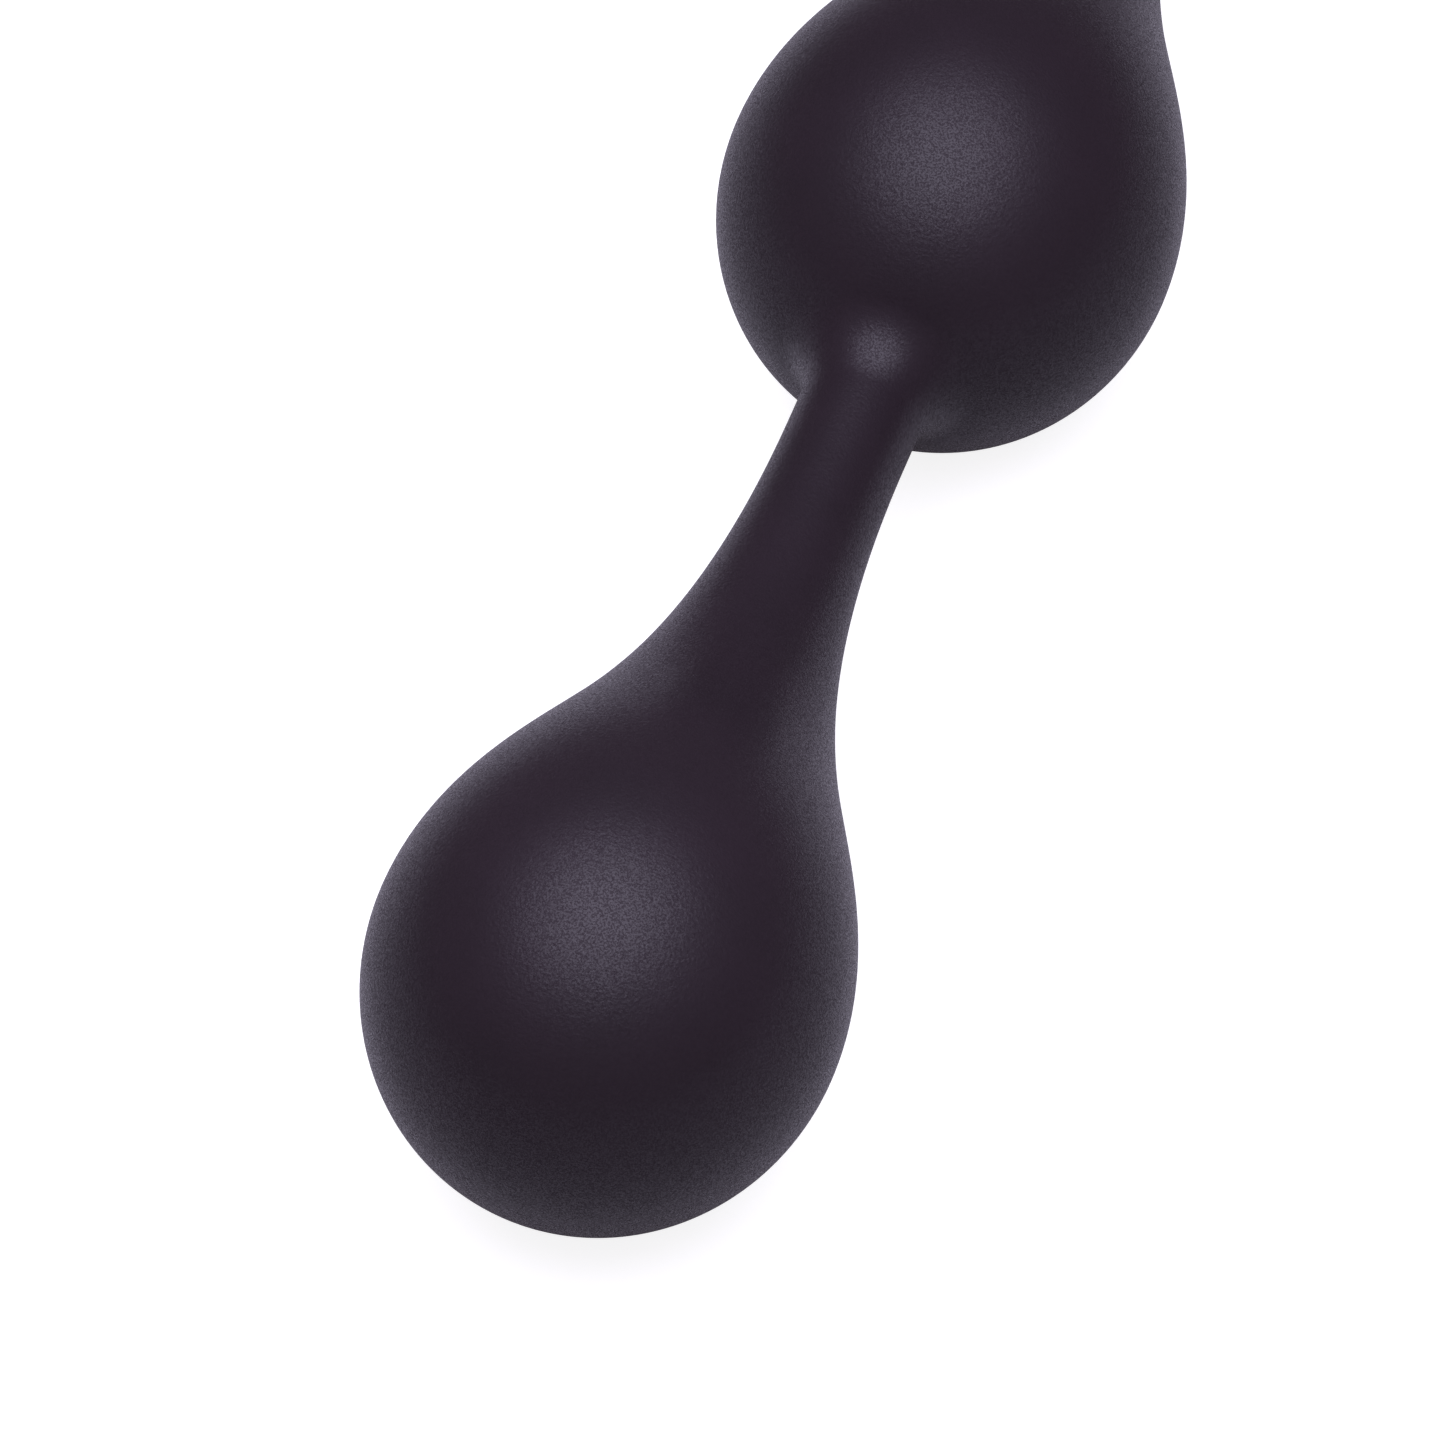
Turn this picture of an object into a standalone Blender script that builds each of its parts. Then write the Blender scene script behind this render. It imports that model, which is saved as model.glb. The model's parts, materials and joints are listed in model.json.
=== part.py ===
"""Two weighted silicone drop balls on a flexible neck, with a finger ring on the tail.

The chain lies along +Y on the plane z = 0, free end towards -Y, ring end towards +Y. Each
drop is a silicone skin over a two-part plastic capsule in which a steel ball rolls. Braided
cords run through the neck and the tail, and end in crimped stops inside the capsules' bosses.
Distances in the constants are millimetres. Along the chain, s is measured from a ball centre.
"""

import math

import bmesh
import bpy
from mathutils import Matrix, Vector

MM = 0.001
GAP = 0.3
MERGE = 0.0001

# The drop: half an ellipsoid behind its centre, a rounded shoulder and a hollow taper in front.
BALL_RADIUS = 17.5
BALL_BACK = 18.8
SHOULDER_HANDLE = 9.1
FLANK_S = 22.6
FLANK_RADIUS = 9.86
FLANK_SLOPE = -0.415
FLANK_HANDLE_BEHIND = 6.7
FLANK_HANDLE_AHEAD = 5.1
NECK_S = 54.3
NECK_RADIUS = 4.67
NECK_HANDLE = 18.2
BALL_SPACING = 79.2
FLAT_DEPTH = 0.26

# Where the skins meet: ahead of each ball, and behind the upper ball past its fillet.
TAPER_SPLIT = 33.0
STUB_SPLIT = 21.8
FILLET_RADIUS = 3.5

# Capsule, weight and cord.
CAVITY_RADIUS = 15.5
CAPSULE_RADIUS = 15.2
CAPSULE_WALL = 1.3
LAP_LENGTH = 1.5
LAP_WALL = 0.5
WEIGHT_RADIUS = 9.0
CORD_RADIUS = 0.8
BORE_RADIUS = CORD_RADIUS + GAP
STOP_RADIUS = 1.7
STOP_LENGTH = 3.6
STOP_CHAMFER = 0.3
STOP_START = 14.8
POCKET_RADIUS = STOP_RADIUS + GAP
BOSS_WALL = 1.0
BOSS_RADIUS = POCKET_RADIUS + BOSS_WALL
POCKET_END = STOP_START + STOP_LENGTH + GAP
BOSS_END = POCKET_END + BOSS_WALL

# Tail and finger ring, measured from the upper ball's centre.
TAIL_RADIUS = 2.4
TAIL_NARROW_LENGTH = 25.0
TAIL_END = 60.0
TAIL_DROP_START = 35.5
TAIL_DROP_END = 58.0
TAIL_HANDLE = 11.0
RING_MAJOR = 12.0
RING_MINOR = 2.8
RING_NEAR_EDGE = 62.0
RING_STOP_START = 61.4
RING_STOP_LENGTH = 2.8
RING_ROOT_END = 64.4

# Joint places, measured from the lower ball's centre (neck) and the upper one's (tail).
NECK_SWING_S = 38.5
NECK_NOD_S = 50.7
TAIL_NOD_S = 41.0
TAIL_SWING_S = 56.0

# Facets around the axis, and points along the profiles.
SKIN_STEPS = 32
CAPSULE_STEPS = 20
STOP_STEPS = 12
TAIL_SIDES = 16
CORD_SIDES = 8
RING_STEPS = 32
RING_SIDES = 12
BACK_POINTS = 8
FRONT_POINTS = 9
INNER_POINTS = 6
NECK_POINTS = 7
TAIL_POINTS = 10
FILLET_POINTS = 4
CORD_POINTS = 5
WEIGHT_SEGMENTS = 20
WEIGHT_RINGS = 12

# How finely the outline's curves are solved.
HALVINGS = 40
SLOPE_STEP = 0.1

BALL_Z = BALL_RADIUS - FLAT_DEPTH
RING_Z = RING_MINOR - FLAT_DEPTH
RING_CENTRE = RING_NEAR_EDGE + RING_MAJOR + RING_MINOR
CHAIN_START = -BALL_BACK
CHAIN_END = BALL_SPACING + RING_CENTRE + RING_MAJOR + RING_MINOR
LOWER_Y = -(CHAIN_START + CHAIN_END) / 2
UPPER_Y = LOWER_Y + BALL_SPACING

COLOURS = {
    "silicone": ((0.022, 0.017, 0.022, 1.0), 0.55, 0.0),
    "capsule_plastic": ((0.62, 0.61, 0.58, 1.0), 0.38, 0.0),
    "steel": ((0.56, 0.57, 0.58, 1.0), 0.22, 1.0),
    "brass": ((0.66, 0.50, 0.24, 1.0), 0.30, 1.0),
    "braided_nylon": ((0.55, 0.54, 0.50, 1.0), 0.75, 0.0),
}


# ---------------------------------------------------------------- outline of the silicone

def bezier(points, t):
    """A point of the cubic with these four points."""
    weights = ((1 - t) ** 3, 3 * t * (1 - t) ** 2, 3 * t * t * (1 - t), t**3)
    return tuple(sum(w * p[i] for w, p in zip(weights, points)) for i in range(2))


def flank_direction():
    """Unit vector along the outline where the shoulder turns into the taper."""
    length = math.hypot(1.0, FLANK_SLOPE)
    return 1.0 / length, FLANK_SLOPE / length


def shoulder_curve():
    ds, dr = flank_direction()
    back = FLANK_HANDLE_BEHIND
    return (
        (0.0, BALL_RADIUS),
        (SHOULDER_HANDLE, BALL_RADIUS),
        (FLANK_S - back * ds, FLANK_RADIUS - back * dr),
        (FLANK_S, FLANK_RADIUS),
    )


def taper_curve():
    ds, dr = flank_direction()
    ahead = FLANK_HANDLE_AHEAD
    return (
        (FLANK_S, FLANK_RADIUS),
        (FLANK_S + ahead * ds, FLANK_RADIUS + ahead * dr),
        (NECK_S - NECK_HANDLE, NECK_RADIUS),
        (NECK_S, NECK_RADIUS),
    )


def curve_value(curve, s):
    """The curve's second coordinate where its first is s."""
    low, high = 0.0, 1.0
    for _ in range(HALVINGS):
        middle = (low + high) / 2
        if bezier(curve, middle)[0] < s:
            low = middle
        else:
            high = middle
    return bezier(curve, low)[1]


def front_radius(s):
    """The drop's radius at s ahead of its centre."""
    if s >= NECK_S:
        return NECK_RADIUS
    return curve_value(shoulder_curve() if s < FLANK_S else taper_curve(), s)


def back_point(angle):
    """(s, radius) on the back half at this angle from the pole."""
    return -BALL_BACK * math.cos(angle), BALL_RADIUS * math.sin(angle)


def spread(start, stop, count):
    return [start + (stop - start) * i / (count - 1) for i in range(count)]


def front_outline(far, near=0.0, count=FRONT_POINTS):
    """Points from far down to near, the far one first."""
    return [(s, front_radius(s)) for s in spread(far, near, count)]


def back_outline(first_angle=0.0):
    """Points from just behind the equator to the pole, or to the given angle from it."""
    angles = spread(math.pi / 2, first_angle, BACK_POINTS)[1:]
    return [back_point(angle) for angle in angles]


def fillet():
    """Centre of the fillet between the back of a ball and the neck, and its two end angles.

    The fillet's circle touches the neck, so its centre is FILLET_RADIUS outside it, and it
    touches the ellipse, which is found by walking along the ellipse.
    """
    height = NECK_RADIUS + FILLET_RADIUS
    low, high = 0.0, math.pi / 2
    for _ in range(HALVINGS):
        angle = (low + high) / 2
        s, r = back_point(angle)
        normal = Vector((s / BALL_BACK**2, r / BALL_RADIUS**2)).normalized()
        if r + FILLET_RADIUS * normal.y < height:
            low = angle
        else:
            high = angle
    centre_s = s + FILLET_RADIUS * normal.x
    return centre_s, height, angle, math.atan2(-normal.y, -normal.x)


def fillet_outline():
    """Points from the ball's back round to the neck."""
    centre_s, centre_r, _, ball_angle = fillet()
    points = []
    for turn in spread(ball_angle, -math.pi / 2, FILLET_POINTS)[1:]:
        points.append((centre_s + FILLET_RADIUS * math.cos(turn),
                       centre_r + FILLET_RADIUS * math.sin(turn)))
    return points


def sphere_arc(radius, start_angle, end_angle, count):
    """(s, radius) points of a circle about the centre, angles measured from +s."""
    return [(radius * math.cos(a), radius * math.sin(a))
            for a in spread(start_angle, end_angle, count)]


# ---------------------------------------------------------------- helpers

def clear_scene():
    for obj in list(bpy.data.objects):
        bpy.data.objects.remove(obj, do_unlink=True)


def new_collection(name):
    collection = bpy.data.collections.new(name)
    bpy.context.scene.collection.children.link(collection)
    return collection


def material(name):
    colour, roughness, metallic = COLOURS[name]
    made = bpy.data.materials.new(name)
    made.use_nodes = True
    shader = made.node_tree.nodes["Principled BSDF"]
    shader.inputs["Base Color"].default_value = colour
    shader.inputs["Roughness"].default_value = roughness
    shader.inputs["Metallic"].default_value = metallic
    return made


def world(y, z=BALL_Z):
    """A point on the chain's plane of symmetry, in metres, from millimetres."""
    return Vector((0.0, y * MM, z * MM))


def pivot(name, place, parent=None):
    """An empty on a joint's axis. The parts that move with it are its children."""
    empty = bpy.data.objects.new(name, None)
    empty.empty_display_size = 5 * MM
    PARTS.objects.link(empty)
    empty["place"] = tuple(place)
    attach(empty, parent, place)
    return empty


def attach(obj, parent, place):
    """Parents obj and puts it at a world place. No parent is turned at rest."""
    obj.parent = parent
    origin = Vector(parent["place"]) if parent else Vector()
    obj.location = Vector(place) - origin


def finish(obj, look, angle=40):
    """Material and smooth shading."""
    obj.data.materials.clear()
    obj.data.materials.append(LOOKS[look])
    obj.data.shade_smooth()
    obj.data.set_sharp_from_angle(angle=math.radians(angle))


def turned(name, profile, steps, collection=None, closed=False):
    """A solid turned about its own Z axis from (s, radius) points in millimetres.

    The profile runs down its outer side. The object's Z axis is laid along world +Y.
    """
    mesh = bpy.data.meshes.new(name)
    points = [(r * MM, 0.0, s * MM) for s, r in profile]
    edges = [(i, i + 1) for i in range(len(points) - 1)]
    if closed:
        edges.append((len(points) - 1, 0))
    mesh.from_pydata(points, edges, [])
    obj = bpy.data.objects.new(name, mesh)
    (collection or PARTS).objects.link(obj)
    screw = obj.modifiers.new("turn", "SCREW")
    screw.axis = "Z"
    screw.steps = steps
    screw.render_steps = steps
    screw.use_merge_vertices = True
    screw.merge_threshold = MERGE
    screw.use_smooth_shade = True
    obj.rotation_euler.x = -math.pi / 2
    return obj


def turned_part(name, profile, steps, look, place, parent, closed=False, flip=False):
    """A turned solid in its place. flip turns it end for end along the chain."""
    obj = turned(name, profile, steps, closed=closed)
    if flip:
        obj.rotation_euler.x = math.pi / 2
    attach(obj, parent, place)
    obj.data.materials.append(LOOKS[look])
    return obj


def tube(name, points, radii, sides, collection):
    """A mesh tube through world points in metres, its caps welded. radii are in millimetres."""
    data = bpy.data.curves.new(name, "CURVE")
    data.dimensions = "3D"
    data.bevel_depth = MM
    data.bevel_resolution = (sides - 4) // 2
    data.use_fill_caps = True
    spline = data.splines.new("POLY")
    spline.points.add(len(points) - 1)
    for target, place, radius in zip(spline.points, points, radii):
        target.co = (*place, 1.0)
        target.radius = radius
    curve = bpy.data.objects.new(name + "_path", data)
    collection.objects.link(curve)
    evaluated = curve.evaluated_get(bpy.context.evaluated_depsgraph_get())
    obj = bpy.data.objects.new(name, bpy.data.meshes.new_from_object(evaluated))
    obj.matrix_world = curve.matrix_world
    bpy.data.objects.remove(curve, do_unlink=True)
    collection.objects.link(obj)
    weld(obj.data)
    return obj


def weld(mesh):
    work = bmesh_from(mesh)
    bmesh.ops.remove_doubles(work, verts=work.verts, dist=MERGE / 10)
    bmesh.ops.recalc_face_normals(work, faces=work.faces)
    work.to_mesh(mesh)
    work.free()


def bmesh_from(mesh):
    work = bmesh.new()
    work.from_mesh(mesh)
    return work


def move_origin(obj, place):
    """Moves the origin of an untransformed object to a world place."""
    obj.data.transform(Matrix.Translation(-Vector(place)))


def hide_cutter(obj):
    obj.hide_render = True
    obj.display_type = "WIRE"
    return obj


def boolean(obj, operation, other):
    """Cuts or joins with the exact solver."""
    made = obj.modifiers.new(operation.lower(), "BOOLEAN")
    made.operation = operation
    made.solver = "EXACT"
    made.object = other


def box_cutter(name, low, high):
    """A box between two world corners in millimetres."""
    work = bmesh.new()
    bmesh.ops.create_cube(work, size=1.0)
    size = Vector(high) - Vector(low)
    middle = (Vector(high) + Vector(low)) / 2
    bmesh.ops.scale(work, vec=size * MM, verts=work.verts)
    bmesh.ops.translate(work, vec=middle * MM, verts=work.verts)
    mesh = bpy.data.meshes.new(name)
    work.to_mesh(mesh)
    work.free()
    obj = bpy.data.objects.new(name, mesh)
    CUTTERS.objects.link(obj)
    return hide_cutter(obj)


# ---------------------------------------------------------------- silicone skins

def cavity_outline():
    """Inner wall from the taper's front face back to the cavity, upwards from the back pole."""
    boss_clear = BOSS_RADIUS + GAP
    boss_front = BOSS_END + GAP
    mouth = math.asin(boss_clear / CAVITY_RADIUS)
    wall = sphere_arc(CAVITY_RADIUS, math.pi, mouth, INNER_POINTS + 3)
    return wall + [(boss_front, boss_clear), (boss_front, BORE_RADIUS), (TAPER_SPLIT, BORE_RADIUS)]


def lower_skin_profile():
    """Free-end skin: closed at the back, open through the cord bore at the front."""
    return cavity_outline() + front_outline(TAPER_SPLIT) + back_outline()


def upper_skin_profile():
    """Skin with the neck's stub behind it: a bore at both ends."""
    boss_clear = BOSS_RADIUS + GAP
    boss_back = -(BOSS_END + GAP)
    mouth = math.asin(boss_clear / CAVITY_RADIUS)
    wall = sphere_arc(CAVITY_RADIUS, math.pi - mouth, mouth, INNER_POINTS + 3)
    inner = [(-STUB_SPLIT, BORE_RADIUS), (boss_back, BORE_RADIUS), (boss_back, boss_clear)]
    inner += wall
    inner += [(-boss_back, boss_clear), (-boss_back, BORE_RADIUS), (TAPER_SPLIT, BORE_RADIUS)]
    outer = front_outline(TAPER_SPLIT) + back_outline(fillet()[2]) + fillet_outline()
    return inner + outer + [(-STUB_SPLIT, NECK_RADIUS)]


def make_skin(name, profile, closed, ball_y, parent):
    """A skin with the small flat on which the soft ball rests."""
    place = world(ball_y)
    skin = turned_part(name, profile, SKIN_STEPS, "silicone", place, parent, closed)
    reach = BALL_RADIUS
    cutter = box_cutter(name + "_floor", (-reach, ball_y - reach, -reach), (reach, ball_y + reach, 0))
    boolean(skin, "DIFFERENCE", cutter)


def make_neck_skin(parent):
    start = TAPER_SPLIT + GAP
    end = BALL_SPACING - STUB_SPLIT - GAP
    outer = front_outline(end, start, NECK_POINTS)
    profile = outer + [(start, BORE_RADIUS), (end, BORE_RADIUS)]
    turned_part("neck_skin", profile, SKIN_STEPS, "silicone", world(LOWER_Y), parent, closed=True)


# ---------------------------------------------------------------- capsules, weights and stops

def lap_radius():
    """Outer radius of the spigot at the capsule's waist."""
    return CAPSULE_RADIUS - CAPSULE_WALL + LAP_WALL


def boss_outline():
    """Outer side of the boss, from its front face down to the shell."""
    foot = math.sqrt(CAPSULE_RADIUS**2 - BOSS_RADIUS**2)
    return [(BOSS_END, BORE_RADIUS), (BOSS_END, BOSS_RADIUS), (foot, BOSS_RADIUS)]


def boss_half_profile(spigot):
    """Half shell with a boss that holds a cord stop. spigot is the inner part of the lap."""
    inner_radius = CAPSULE_RADIUS - CAPSULE_WALL
    foot = math.asin(BOSS_RADIUS / CAPSULE_RADIUS)
    mouth = math.asin(POCKET_RADIUS / inner_radius)
    outer = sphere_arc(CAPSULE_RADIUS, foot, math.pi / 2, INNER_POINTS + 1)[1:-1]
    inner = sphere_arc(inner_radius, math.pi / 2, mouth, INNER_POINTS)[1:]
    hole = [(POCKET_END, POCKET_RADIUS), (POCKET_END, BORE_RADIUS)]
    return boss_outline() + outer + waist(spigot) + inner + hole


def plain_half_profile():
    """Half shell with no boss, carrying the spigot."""
    inner_radius = CAPSULE_RADIUS - CAPSULE_WALL
    outer = sphere_arc(CAPSULE_RADIUS, 0.0, math.pi / 2, INNER_POINTS + 1)[:-1]
    inner = sphere_arc(inner_radius, math.pi / 2, 0.0, INNER_POINTS)[1:]
    return outer + waist(True) + inner


def waist(spigot):
    """The lap at the capsule's waist, from the outer side to the inner."""
    inner_radius = CAPSULE_RADIUS - CAPSULE_WALL
    half = GAP / 2
    if spigot:
        return [(half, CAPSULE_RADIUS), (half, lap_radius()), (-LAP_LENGTH, lap_radius()),
                (-LAP_LENGTH, inner_radius)]
    socket = lap_radius() + GAP
    depth = LAP_LENGTH + GAP
    inner_at_depth = math.sqrt(inner_radius**2 - depth**2)
    return [(half, CAPSULE_RADIUS), (half, socket), (depth, socket), (depth, inner_at_depth)]


def make_capsule(prefix, ball_y, parent, boss_at_back):
    """Two half shells that lap at the waist: the base faces the free end, the lid the tail."""
    place = world(ball_y)
    base = boss_half_profile(True) if boss_at_back else plain_half_profile()
    turned_part(prefix + "_capsule_base", base, CAPSULE_STEPS, "capsule_plastic", place, parent,
                closed=boss_at_back, flip=True)
    turned_part(prefix + "_capsule_lid", boss_half_profile(False), CAPSULE_STEPS,
                "capsule_plastic", place, parent, closed=True)


def make_weight(prefix, ball_y, parent):
    """A steel ball that lies at the bottom of the capsule. Its pivot is the capsule's centre."""
    centre_z = BALL_Z - (CAPSULE_RADIUS - CAPSULE_WALL - WEIGHT_RADIUS - GAP)
    work = bmesh.new()
    bmesh.ops.create_uvsphere(work, u_segments=WEIGHT_SEGMENTS, v_segments=WEIGHT_RINGS,
                              radius=WEIGHT_RADIUS * MM)
    mesh = bpy.data.meshes.new(prefix + "_weight")
    work.to_mesh(mesh)
    work.free()
    obj = bpy.data.objects.new(prefix + "_weight", mesh)
    PARTS.objects.link(obj)
    attach(obj, parent, world(ball_y, centre_z))
    finish(obj, "steel", 60)


def make_stop(name, centre_y, start, length, parent, z=BALL_Z):
    """A crimped sleeve on the cord's end, with chamfered rims. start is signed."""
    low, high = start, start + length
    ch = STOP_CHAMFER
    profile = [
        (high, BORE_RADIUS), (high, STOP_RADIUS - ch), (high - ch, STOP_RADIUS),
        (low + ch, STOP_RADIUS), (low, STOP_RADIUS - ch), (low, BORE_RADIUS),
    ]
    turned_part(name, profile, STOP_STEPS, "brass", world(centre_y, z), parent, closed=True)


# ---------------------------------------------------------------- tail, ring and cords

def tail_point(s):
    """World place of the tail's centre line at s from the upper ball, in metres.

    It leaves the ball level, sinks in one smooth S, and is level again just above the plane.
    """
    if s <= TAIL_DROP_START:
        return world(UPPER_Y + s)
    if s >= TAIL_DROP_END:
        return world(UPPER_Y + s, RING_Z)
    curve = ((TAIL_DROP_START, BALL_Z), (TAIL_DROP_START + TAIL_HANDLE, BALL_Z),
             (TAIL_DROP_END - TAIL_HANDLE, RING_Z), (TAIL_DROP_END, RING_Z))
    return world(UPPER_Y + s, curve_value(curve, s))


def tail_radius(s):
    """The tail goes on narrowing smoothly from the drop's taper to its own radius."""
    start = front_radius(TAPER_SPLIT)
    slope = (front_radius(TAPER_SPLIT + SLOPE_STEP) - start) / SLOPE_STEP
    t = min((s - TAPER_SPLIT) / TAIL_NARROW_LENGTH, 1.0)
    rise = slope * TAIL_NARROW_LENGTH
    fall = 2 * t**3 - 3 * t**2 + 1
    return fall * start + (t**3 - 2 * t**2 + t) * rise + (1 - fall) * TAIL_RADIUS


def tail_stations(start, end):
    """Places along the tail from start to end, level at both, with the S between them."""
    return [start] + spread(TAIL_DROP_START, TAIL_DROP_END, TAIL_POINTS) + [end]


def make_tail_skin(parent):
    stations = tail_stations(TAPER_SPLIT + GAP, TAIL_END)
    points = [tail_point(s) for s in stations]
    skin = tube("tail_skin", points, [tail_radius(s) for s in stations], TAIL_SIDES, PARTS)
    path = [tail_point(s) for s in tail_stations(TAPER_SPLIT - GAP, TAIL_END + 2 * GAP)]
    bore = tube("tail_bore", path, [BORE_RADIUS] * len(path), CORD_SIDES, CUTTERS)
    boolean(skin, "DIFFERENCE", hide_cutter(bore))
    settle(skin, "silicone", parent)


def settle(obj, look, parent):
    """Gives an object built in world coordinates its parent's origin, material and shading."""
    origin = Vector(parent["place"]) if parent else Vector()
    move_origin(obj, origin)
    attach(obj, parent, origin)
    finish(obj, look)


def make_ring(parent):
    """A flat moulded ring with a short root, hollow inside for the cord's last stop."""
    centre = world(UPPER_Y + RING_CENTRE, RING_Z)
    bpy.ops.mesh.primitive_torus_add(
        major_segments=RING_STEPS, minor_segments=RING_SIDES,
        major_radius=RING_MAJOR * MM, minor_radius=RING_MINOR * MM)
    ring = bpy.context.active_object
    ring.name = "finger_ring"
    ring.data.name = "finger_ring"
    for collection in list(ring.users_collection):
        collection.objects.unlink(ring)
    PARTS.objects.link(ring)
    ring.data.transform(Matrix.Translation(centre))

    start = TAIL_END + GAP
    place = world(UPPER_Y, RING_Z)
    root = turned("ring_root", [(RING_ROOT_END, 0), (RING_ROOT_END, TAIL_RADIUS),
                                (start, TAIL_RADIUS), (start, 0)], TAIL_SIDES, CUTTERS)
    attach(hide_cutter(root), None, place)
    boolean(ring, "UNION", root)

    pocket_low = RING_STOP_START - GAP
    pocket_high = RING_STOP_START + RING_STOP_LENGTH + GAP
    pocket = turned("ring_pocket", [
        (pocket_high, 0), (pocket_high, POCKET_RADIUS), (pocket_low, POCKET_RADIUS),
        (pocket_low, BORE_RADIUS), (start - GAP, BORE_RADIUS), (start - GAP, 0),
    ], STOP_STEPS, CUTTERS)
    attach(hide_cutter(pocket), None, place)
    boolean(ring, "DIFFERENCE", pocket)

    reach = RING_MAJOR + 2 * RING_MINOR
    middle = UPPER_Y + RING_CENTRE
    floor = box_cutter("ring_floor", (-reach, middle - reach, -reach), (reach, middle + reach, 0))
    boolean(ring, "DIFFERENCE", floor)
    settle(ring, "silicone", parent)


def make_cord(name, points, parent):
    cord = tube(name, points, [CORD_RADIUS] * len(points), CORD_SIDES, PARTS)
    settle(cord, "braided_nylon", parent)


def make_cords(neck, tail):
    """One cord through the neck, from stop to stop, and one through the tail to the ring."""
    neck_stations = spread(STOP_START, BALL_SPACING - STOP_START, CORD_POINTS)
    make_cord("neck_cord", [world(LOWER_Y + s) for s in neck_stations], neck)
    stations = tail_stations(STOP_START, RING_STOP_START + RING_STOP_LENGTH)
    make_cord("tail_cord", [tail_point(s) for s in stations], tail)


def main():
    upper = pivot("upper_ball_centre", world(UPPER_Y))
    neck = pivot("neck_nod_axis", world(LOWER_Y + NECK_NOD_S), upper)
    lower = pivot("neck_swing_axis", world(LOWER_Y + NECK_SWING_S), neck)
    lower_roll = pivot("lower_weight_axis", world(LOWER_Y), lower)
    upper_roll = pivot("upper_weight_axis", world(UPPER_Y), upper)
    tail = pivot("tail_nod_axis", tail_point(TAIL_NOD_S), upper)
    ring = pivot("tail_swing_axis", tail_point(TAIL_SWING_S), tail)

    make_skin("lower_skin", lower_skin_profile(), False, LOWER_Y, lower)
    make_skin("upper_skin", upper_skin_profile(), True, UPPER_Y, upper)
    make_neck_skin(neck)
    make_capsule("lower", LOWER_Y, lower, boss_at_back=False)
    make_capsule("upper", UPPER_Y, upper, boss_at_back=True)
    make_weight("lower", LOWER_Y, lower_roll)
    make_weight("upper", UPPER_Y, upper_roll)
    make_stop("lower_cord_stop", LOWER_Y, STOP_START, STOP_LENGTH, lower)
    make_stop("upper_neck_cord_stop", UPPER_Y, -STOP_START - STOP_LENGTH, STOP_LENGTH, upper)
    make_stop("upper_tail_cord_stop", UPPER_Y, STOP_START, STOP_LENGTH, upper)
    make_stop("ring_cord_stop", UPPER_Y, RING_STOP_START, RING_STOP_LENGTH, ring, RING_Z)
    make_tail_skin(tail)
    make_ring(ring)
    make_cords(neck, tail)


clear_scene()
PARTS = new_collection("drop_massage_balls")
CUTTERS = new_collection("cutters")
LOOKS = {name: material(name) for name in COLOURS}
main()
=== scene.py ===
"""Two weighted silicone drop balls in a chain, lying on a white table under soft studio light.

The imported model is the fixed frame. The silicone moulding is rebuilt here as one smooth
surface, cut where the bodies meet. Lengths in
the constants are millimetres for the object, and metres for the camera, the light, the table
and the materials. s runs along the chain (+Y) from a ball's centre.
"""

import json
import math

import bmesh
import bpy
import numpy as np
from mathutils import Matrix, Vector


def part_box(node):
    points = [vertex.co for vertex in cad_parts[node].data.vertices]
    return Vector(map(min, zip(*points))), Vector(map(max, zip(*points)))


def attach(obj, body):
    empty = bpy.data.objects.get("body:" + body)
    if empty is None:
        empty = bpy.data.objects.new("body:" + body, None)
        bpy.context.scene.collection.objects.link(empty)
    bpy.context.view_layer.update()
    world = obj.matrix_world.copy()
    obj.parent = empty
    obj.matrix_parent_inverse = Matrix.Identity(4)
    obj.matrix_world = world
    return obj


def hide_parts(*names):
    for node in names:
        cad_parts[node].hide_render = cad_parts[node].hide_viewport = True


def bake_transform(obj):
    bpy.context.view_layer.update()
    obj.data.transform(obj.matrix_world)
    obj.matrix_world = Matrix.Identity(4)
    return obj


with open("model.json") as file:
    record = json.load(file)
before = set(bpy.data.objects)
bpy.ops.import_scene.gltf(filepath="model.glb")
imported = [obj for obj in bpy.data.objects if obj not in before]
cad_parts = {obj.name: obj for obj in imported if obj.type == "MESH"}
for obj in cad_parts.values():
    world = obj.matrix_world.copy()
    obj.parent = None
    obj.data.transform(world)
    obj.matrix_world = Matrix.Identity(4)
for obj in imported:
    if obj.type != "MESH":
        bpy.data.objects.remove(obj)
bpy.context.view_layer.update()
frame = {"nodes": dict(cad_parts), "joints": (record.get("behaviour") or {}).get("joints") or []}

MM = 0.001

# The silicone's outline, as in the CAD, with a softer fillet and so a longer stub behind it.
BALL_RADIUS = 17.5
BALL_BACK = 18.8
SHOULDER_HANDLE = 9.1
FLANK_S = 22.6
FLANK_RADIUS = 9.86
FLANK_SLOPE = -0.415
FLANK_HANDLE_BEHIND = 6.7
FLANK_HANDLE_AHEAD = 5.1
NECK_S = 54.3
NECK_RADIUS = 4.67
NECK_HANDLE = 18.2
FILLET_RADIUS = 6.0
TAPER_SPLIT = 33.0
STUB_SPLIT = 24.0
BORE_RADIUS = 1.1
CAVITY_RADIUS = 15.5
BOSS_CLEARANCE_RADIUS = 3.3
BOSS_CLEARANCE_END = 20.0

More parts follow.
